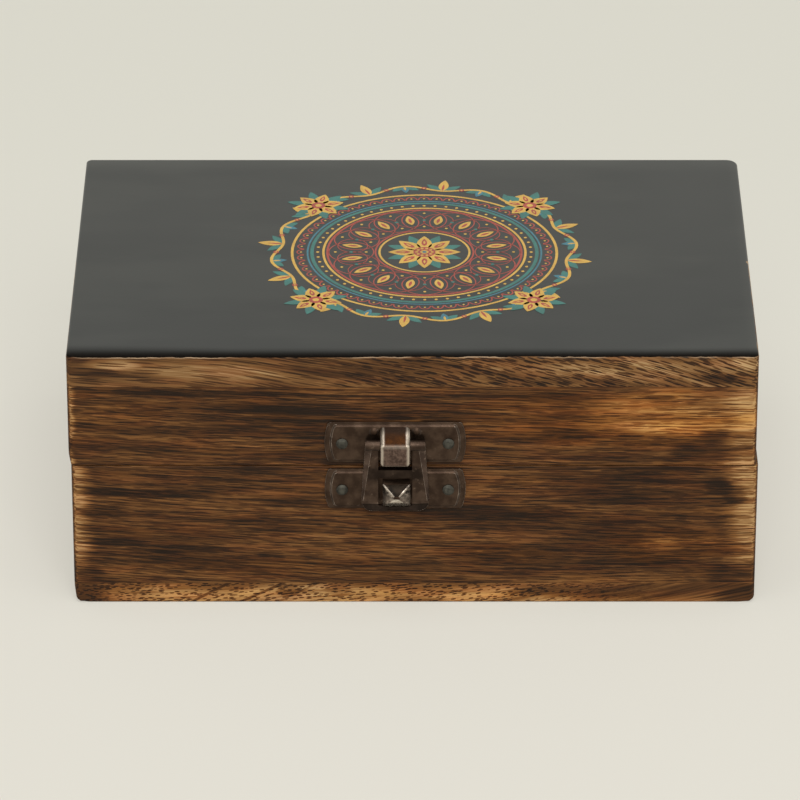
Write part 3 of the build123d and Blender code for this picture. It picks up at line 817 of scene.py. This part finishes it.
# the scalloped edging: half an oval outside, and a smaller one back inside it
scallop_cuts, scallop_squash = 16, 0.92
bow = [pi * i / scallop_cuts for i in range(scallop_cuts + 1)]
scallop = [(1.9 * sin(t) * scallop_squash, 1.42 * cos(t)) for t in bow]
scallop += [(1.55 * sin(t) * scallop_squash, 1.1 * cos(t)) for t in reversed(bow)]
print_shape("brick", scallop, layer=1, count=bead_count, radius=27.3)
print_shape("gold", circle(0.27, 14), layer=1, count=bead_count, radius=28.0)
print_ring("gold", radius=30.0, width=0.62, layer=1)
# the garland: a waving vine
waves, vine_cuts, vine_radius, vine_swing = 12, 360, 33.6, 1.25
vine = []
for t in [2 * pi * i / vine_cuts for i in range(vine_cuts)]:
    reach = vine_radius + vine_swing * sin(waves * t)
    vine.append((reach * cos(t), reach * sin(t)))
print_round("gold", ribbon(vine, 0.7, 3))
half_wave = 180 / waves


def out_turn(lean, side):
    """The turn of a leaf that leans away from the vine, on its outer or its inner side."""
    return radians(lean) if side > 0 else pi - radians(lean)


def turned(outline, turn, x=0.0, y=0.0):
    """An outline turned about its own origin, and then moved to x and y."""
    c, s = cos(turn), sin(turn)
    return [(x + u * c - v * s, y + u * s + v * c) for u, v in outline]


# its sprigs, each (turn in half waves, side of the vine, side leaves' length, middle leaf's length
# and width, middle leaf's ink, its vein's ink)
sprigs = ((0.5, -1, 3.7, 3.3, 1.7, "blue", "gold"), (1.5, 1, 4.8, 5.6, 2.3, "gold", "brick"))
leaf_lean, leaf_foot, leaf_width, leaf_point = 52, 0.2, 1.9, 0.55
vein_share, vein_width = 0.6, 0.55
for turn, side, side_length, middle_length, middle_width, leaf_ink, vein_ink in sprigs:
    reach, first = vine_radius - vine_swing * side, half_wave * turn
    for lean in (leaf_lean, -leaf_lean):
        leaf = petal(leaf_foot, side_length, leaf_width, leaf_point)
        print_shape("teal", turned(leaf, out_turn(lean, side)), 2, waves, reach, first)
    leaf = petal(leaf_foot, middle_length, middle_width, leaf_point)
    print_shape(leaf_ink, turned(leaf, out_turn(0, side)), 3, waves, reach, first)
    vein = petal(leaf_foot, middle_length * vein_share, vein_width, leaf_point)
    print_shape(vein_ink, turned(vein, out_turn(0, side)), 4, waves, reach, first)
print_shape("brick", circle(0.62, 20), layer=4, count=2 * waves, radius=vine_radius)
print_shape("gold", circle(0.26, 14), layer=5, count=2 * waves, radius=vine_radius)
# four blossoms on the garland, of six petals each
blossom_count, petal_count, blossom_radius = 4, 6, 34.4
spins = [2 * pi * i / petal_count for i in range(petal_count)]
for blossom in range(blossom_count):
    turn = pi / 4 + 2 * pi * blossom / blossom_count
    x, y = blossom_radius * cos(turn), blossom_radius * sin(turn)
    for colour, outline, first, layer in (
        ("teal", petal(1.5, 5.9, 2.3), pi / petal_count, 6),
        ("gold", petal(0.8, 5.2, 3.4, 0.66), 0, 7),
        ("brick", petal(2.2, 2.9, 1.1, 0.6), 0, 8),
        ("gold", petal(3.0, 1.3, 0.4, 0.6), 0, 9),
    ):
        whorl = [turned(outline, turn + spin + first, x, y) for spin in spins]
        print_round(colour, solid_shapes(whorl, layer))
    print_shape("brick", circle(1.6, 32, x, y), layer=9)
    print_shape("gold", circle(0.75, 24, x, y), layer=10)

for colour, meshes in printed.items():
    joined = bmesh.new()
    for mesh in meshes:
        joined.from_mesh(mesh)
        bpy.data.meshes.remove(mesh)
    bmesh.ops.translate(joined, vec=medallion_middle * MM, verts=joined.verts)
    layer_mesh = bpy.data.meshes.new("medallion_" + colour)
    joined.to_mesh(layer_mesh)
    joined.free()
    layer_mesh.materials.append(inks[colour])
    layer_piece = add_object("medallion_" + colour, layer_mesh)
    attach(layer_piece, "lid")

# ---- Latch plates ----
# The two plates and the hasp are pressed from thin sheet, browned like old bronze. Their edges are
# lighter: partly rubbed bright by handling and partly painted highlight where they catch the light.
def bronze(name, dark, light, wear_and_highlight, roughness, wear, shade=None):
    """Browned metal: mottled dark patina, rubbed through in places to a brighter tone. Shade is
    a darker band across it, (middle height, half height, how dark), in millimetres."""
    material, start = new_material(name)
    place = object_place(start)
    mottle, fine, rub = place.noise(420.0, 4.0), place.noise(2600.0, 3.0), place.noise(700.0, 3.0)
    patina = mottle.step(0.35, 0.7).mix(dark, light)
    if shade:
        shade_middle, shade_half, shade_depth = shade
        off_middle = abs(place.axis("Z") / MM - shade_middle) + (mottle - 0.5)
        shaded = (1 - off_middle.step(shade_half * 0.6, shade_half * 1.4)) * shade_depth
        patina = shaded.mix(patina, (0, 0, 0))
    rubbed = (rub * 0.7 + fine * 0.3).step(0.62 - wear * 0.5, 0.80 - wear * 0.3)
    finish_material(
        start,
        {
            "Base Color": rubbed.mix(patina, wear_and_highlight),
            "Metallic": 0.9,
            "Roughness": roughness + (fine - 0.5) * 0.25 - rubbed * 0.1,
            "Normal": (fine + mottle * 2).bump(strength=0.35, depth=0.05),
        },
    )
    return material


# the places of a piece's finishes: its faces, its rounded edges, and then any others
faces_place, edges_place, others_place = 0, 1, 2


def round_edges(shape, edges, width, segments, finish_place):
    """Rounds some edges and gives the new faces a finish."""
    bmesh.ops.bevel(
        shape, geom=edges, offset=width * MM, segments=segments, profile=0.5,
        affect="EDGES", material=finish_place, clamp_overlap=True,
    )


def pressed_fitting(node, body, faces, edges, edge_width, sharp_angle=32, others=(),
                    softened=None, ridges=None, repaint=None):
    """A metal piece made from its solid: joined up, its sharp edges rounded and given the edge
    finish, partly rubbed and partly painted highlight, and shaded smooth where it is round. Others
    gives finishes and what picks the faces that have them, and softened picks the sharp edges that
    are rounded. Ridges is (what picks them, their width, their finish), for edges that are rounded
    wider and lighter. Repaint gives a rounded face another finish by its middle."""
    finishes = [faces, edges] + [finish for finish, _ in others]
    if ridges:
        picks_ridge, ridge_width, ridge_finish = ridges
        finishes.append(ridge_finish)
    mesh, shape = solid_copy(node, finishes)
    for face in shape.faces:
        chosen = [i for i, (_, picks) in enumerate(others) if picks(face)]
        face.material_index = others_place + chosen[0] if chosen else faces_place
    sharp = [edge for edge in shape.edges if edge.calc_face_angle(0) > radians(sharp_angle)]
    if ridges:
        picked = [edge for edge in sharp if picks_ridge(edge)]
        sharp = [edge for edge in sharp if edge not in picked]
        round_edges(shape, picked, ridge_width, segments=3, finish_place=len(finishes) - 1)
        sharp = [edge for edge in sharp if edge.is_valid]
    if softened:
        sharp = [edge for edge in sharp if softened(edge)]
    round_edges(shape, sharp, edge_width, segments=2, finish_place=edges_place)
    if repaint:
        for face in shape.faces:
            face.material_index = repaint(face.calc_center_median() / MM, face.material_index)
    dressed_piece(node, body, mesh, shape)


plate_bronze = bronze(
    "plate_bronze", (0.038, 0.0220, 0.0138), (0.074, 0.046, 0.030), (0.16, 0.11, 0.080),
    roughness=0.46, wear=0.05,
)
# the edge, worn and rubbed bronzes are lighter finishes for the latch's edges and plate ends:
# partly rubbed wear and partly painted highlight
edge_bronze = bronze(
    "edge_bronze", (0.045, 0.030, 0.022), (0.105, 0.075, 0.057), (0.36, 0.28, 0.22),
    roughness=0.46, wear=0.12,
)
rubbed_highlit_bronze = bronze(
    "rubbed_highlit_bronze", (0.16, 0.118, 0.092), (0.30, 0.235, 0.190), (0.55, 0.47, 0.40),
    roughness=0.36, wear=0.45,
)
# a painted reflection of the pale floor, for the stud's downward-facing foot
painted_reflection_bronze = bronze(
    "painted_reflection_bronze", (0.30, 0.25, 0.20), (0.46, 0.40, 0.33), (0.68, 0.61, 0.52),
    roughness=0.32, wear=0.6,
)
# the stud's upper ridges: partly rubbed and partly painted highlight, with painted shade near the
# top
ridge_bronze = bronze(
    "ridge_bronze", (0.14, 0.108, 0.084), (0.27, 0.22, 0.175), (0.50, 0.43, 0.36),
    roughness=0.38, wear=0.5, shade=(31.9, 0.9, 0.6),
)
worn_highlit_bronze = bronze(
    "worn_highlit_bronze", (0.100, 0.075, 0.059), (0.195, 0.152, 0.123), (0.42, 0.35, 0.29),
    roughness=0.40, wear=0.3,
)
# the stud's slopes, with painted shade darkening them towards the top
stud_bronze = bronze(
    "stud_bronze", (0.130, 0.100, 0.080), (0.260, 0.210, 0.170), (0.50, 0.42, 0.35),
    roughness=0.36, wear=0.35, shade=(31.6, 2.6, 0.85),
)
# painted shade, for the stud's upward-facing crown, which faces the dark overhead
painted_shade_bronze = bronze(
    "painted_shade_bronze", (0.009, 0.0065, 0.0045), (0.024, 0.016, 0.010), (0.09, 0.07, 0.05),
    roughness=0.5, wear=0.1,
)
# planes across the latch: the plates end behind the first, and in front of the others lie the
# strap, the stud's ridges and the stud's slopes
box_front = -50.8
plate_clear, strap_clear = box_front - 1.3, box_front - 1.15
ridge_clear, point_clear = box_front - 3.2, box_front - 3.6
# across the latch, from its middle: the strap, the fittings beside it, and the plates' plain part
strap_half, fitting_half, plain_half = 3.4, 6.2, 12.6
strap_fold, strap_foot = 41.8, 36.6
# the stud's middle, the least length of its ridges and the least slant of its slopes
stud_middle, least_ridge, least_slant = 29.1, 1.0, 0.3
latch_middle = (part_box("latch_hasp")[0].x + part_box("latch_hasp")[1].x) / 2 / MM


def strap_finish():
    """The strap's metal: rusty on the slope, with painted shadow at its root, rosier in front, and
    lighter at its edges, fold and foot, partly worn bright and partly painted highlight.
    """
    material, start = new_material("strap_bronze")
    place = object_place(start)
    x, y, z = millimetres(place)
    mottle, fine = place.noise(900.0, 4.0), place.noise(3000.0, 3.0)
    grain = (mottle * 0.5 + fine * 0.5).step(0.36, 0.64)
    rosy_dark, rosy_light = (0.060, 0.037, 0.028), (0.150, 0.098, 0.074)
    rust_dark, rust_light = (0.019, 0.0062, 0.0012), (0.045, 0.0150, 0.0026)
    root_shadow, bright = (0.011, 0.0048, 0.0020), (0.50, 0.43, 0.35)
    fold_blur, root_shadow_from, root_shadow_to = 0.15, 42.9, 44.3
    side_from, side_to, side_end_from, side_end_to = 2.3, 3.0, 43.2, 44.5
    slope = z.step(strap_fold - fold_blur, strap_fold + fold_blur)
    front = grain.mix(rosy_dark, rosy_light)
    # the top of the slope is painted darker: painted shadow where the strap leaves the plate
    rust_and_root_shadow = z.step(root_shadow_from, root_shadow_to).mix(grain.mix(rust_dark, rust_light), root_shadow)
    off_middle = abs(x - latch_middle) + (mottle - 0.5) * 0.25 + slope * fold_blur
    # the sides, the fold and the foot are painted lighter: partly rubbed bright and partly painted
    # highlight where the bent metal catches the light
    sides = off_middle.step(side_from, side_to) * (1 - z.step(side_end_from, side_end_to) * 0.8)
    fold = (1 - abs(z - strap_fold).step(0.05, 0.7)) * 0.22
    foot = (1 - (z - strap_foot).step(0.15, 0.7)) * 0.7
    wear_and_highlight = start.maths("MAXIMUM", start.maths("MAXIMUM", sides, fold), foot)
    finish_material(
        start,
        {
            "Base Color": wear_and_highlight.mix(slope.mix(front, rust_and_root_shadow), bright),
            "Metallic": 0.9,
            "Roughness": 0.46 - wear_and_highlight * 0.14 + (fine - 0.5) * 0.2,
            "Normal": (fine + mottle).bump(strength=0.35, depth=0.05),
        },
    )
    return material


strap_bronze = strap_finish()


def plate_end(face):
    """The bulged end edges of a plate."""
    return abs(face.normal.x) > 0.5 and face.calc_center_median().y > plate_clear * MM


def on_strap(face):
    """The bridge strap, in front of the plate."""
    spot = face.calc_center_median() / MM
    return spot.y < strap_clear and abs(spot.x - latch_middle) < strap_half


def beside_fittings(edge):
    """Edges of the plate itself: neither the strap's nor the shoulders'."""
    return all(abs(vertex.co.x / MM - latch_middle) > fitting_half for vertex in edge.verts)


def off_stud(edge):
    """Edges of the plate itself, not the stud's."""
    return all(vertex.co.y > plate_clear * MM for vertex in edge.verts)


def plate_wear_and_highlight(spot, finish_place):
    """Only the plates' ends get the lighter edge finish, partly rubbed and partly painted
    highlight: their long edges keep the plain finish.
    """
    plain = finish_place == edges_place and abs(spot.x - latch_middle) < plain_half
    return faces_place if plain else finish_place


def on_point(face):
    """The four slopes that meet in the stud's point."""
    return face.calc_center_median().y < point_clear * MM


def stud_side(face):
    return on_point(face) and abs(face.normal.x) > least_slant


def stud_foot(face):
    return on_point(face) and face.normal.z < -least_slant


def stud_crown(face):
    return on_point(face) and face.normal.z > least_slant


def stud_ridge(edge):
    """The four ridges that run up to the stud's point."""
    root, tip = sorted((vertex.co.y / MM for vertex in edge.verts), reverse=True)
    return root < ridge_clear and root - tip > least_ridge


# the stud is finished with lit and shaded copies of one metal, painted light and shade by the way
# its faces look
stud_finishes = (
    (stud_bronze, stud_side), (painted_reflection_bronze, stud_foot), (painted_shade_bronze, stud_crown),
    (edge_bronze, plate_end),
)
ridges_place = others_place + len(stud_finishes)


def stud_wear_and_highlight(spot, finish_place):
    """As the plates' edges; the stud's lower ridges keep the duller edge finish, and only its upper
    ridges get the painted highlight.
    """
    if finish_place == ridges_place and spot.z < stud_middle:
        return edges_place
    return plate_wear_and_highlight(spot, finish_place)


pressed_fitting(
    "latch_upper_plate", "lid", plate_bronze, worn_highlit_bronze, edge_width=0.14,
    sharp_angle=24, others=((strap_bronze, on_strap), (edge_bronze, plate_end)),
    softened=beside_fittings, repaint=plate_wear_and_highlight,
)
pressed_fitting(
    "latch_catch_plate", "base", plate_bronze, worn_highlit_bronze, edge_width=0.14,
    sharp_angle=24, others=stud_finishes, softened=off_stud,
    ridges=(stud_ridge, 0.22, ridge_bronze), repaint=stud_wear_and_highlight,
)

# ---- Hasp ----
# The hasp swings on the strap, drops over the pyramid stud, and flares at the bottom into a lip
# for a finger. Its bevelled sides are painted lighter than its front, as lit faces, and their
# ridges are lighter, partly rubbed and partly painted highlight. The lip's hollow is painted dark,
# as shade.
crossbar_middle, lip_top = 33.9, 26.6
ridge_out, ridge_front, least_height = 4.8, box_front - 2.3, 4
window_half = 4.4
# the crossbar between the windows is painted darker, as shade
hasp_bronze = bronze(
    "hasp_bronze", (0.039, 0.0235, 0.0158), (0.079, 0.051, 0.035), (0.18, 0.125, 0.090),
    roughness=0.44, wear=0.1, shade=(crossbar_middle, 1.5, 0.5),
)
# a lighter copy of the hasp's metal for its bevelled sides: painted light
hasp_side_lit_bronze = bronze(
    "hasp_side_lit_bronze", (0.056, 0.036, 0.027), (0.107, 0.072, 0.054), (0.21, 0.15, 0.115),
    roughness=0.42, wear=0.1,
)
# painted shade for the lip's hollow, which faces up into the dark
lip_shade_bronze = bronze(
    "lip_shade_bronze", (0.009, 0.0052, 0.0028), (0.019, 0.0115, 0.0072), (0.05, 0.034, 0.024),
    roughness=0.62, wear=0.06,
)


def in_sheet(face):
    """The hasp above its lip."""
    return face.calc_center_median().z > lip_top * MM


def hasp_bevel(face):
    """The two long bevelled sides."""
    return 0.1 < abs(face.normal.x) < 0.9 and face.normal.y < -0.2 and in_sheet(face)


def lip_hollow(face):
    """The hollow front of the lip."""
    return not in_sheet(face) and face.normal.y < -0.05 and face.normal.z > 0.0


def hasp_ridge(edge):
    """The two long ridges between the front face and the bevelled sides."""
    ends = [vertex.co / MM for vertex in edge.verts]
    off_middle = [abs(end.x - latch_middle) for end in ends]
    tall = abs(ends[0].z - ends[1].z) > least_height
    return tall and min(off_middle) > ridge_out and max(end.y for end in ends) < ridge_front


def hasp_wear_and_highlight(spot, finish_place):
    """The windows' edges keep the plain finish."""
    plain = finish_place == edges_place and abs(spot.x - latch_middle) < window_half
    return faces_place if plain else finish_place


pressed_fitting(
    "latch_hasp", "hasp", hasp_bronze, rubbed_highlit_bronze, edge_width=0.11,
    sharp_angle=18, others=((hasp_side_lit_bronze, hasp_bevel), (lip_shade_bronze, lip_hollow)),
    ridges=(hasp_ridge, 0.15, rubbed_highlit_bronze), repaint=hasp_wear_and_highlight,
)

# ---- Nails ----
# Four small round-headed steel nails hold the two plates. Their heads are dull and a little
# uneven from the hammer.
nail_steel, start = new_material("nail_steel")
dulling = object_place(start).noise(900.0, 4.0)
dull_steel, clean_steel = (0.031, 0.029, 0.023), (0.085, 0.081, 0.064)
finish_material(
    start,
    {
        "Base Color": dulling.step(0.3, 0.7).mix(dull_steel, clean_steel),
        "Metallic": 0.75,
        "Roughness": 0.56 + dulling * 0.2,
    },
)
for node, body in (("upper_plate_nails", "lid"), ("catch_plate_nails", "base")):
    pressed_fitting(node, body, nail_steel, nail_steel, edge_width=0.15)

# ---- Hinges ----
# Two small butt hinges of browned metal lie flush in the back rims. Their knuckles stand in the
# gap between the bevels, with a pin through them.
hinge_bronze = bronze(
    "hinge_bronze", (0.040, 0.029, 0.020), (0.085, 0.062, 0.044), (0.22, 0.17, 0.12),
    roughness=0.42, wear=0.15,
)
for side in ("left", "right"):
    for part, body in (("base_leaf", "base"), ("lid_leaf", "lid"), ("pin", "base")):
        node = f"{side}_hinge_{part}"
        pressed_fitting(node, body, hinge_bronze, edge_bronze, edge_width=0.08)

# ---- Hinge screws ----
# Each leaf is held by two small slotted steel screws, turned into the rim. They are as dull as
# the nails.
for side in ("left", "right"):
    for body in ("base", "lid"):
        wear_material(f"{side}_hinge_{body}_screws", nail_steel)
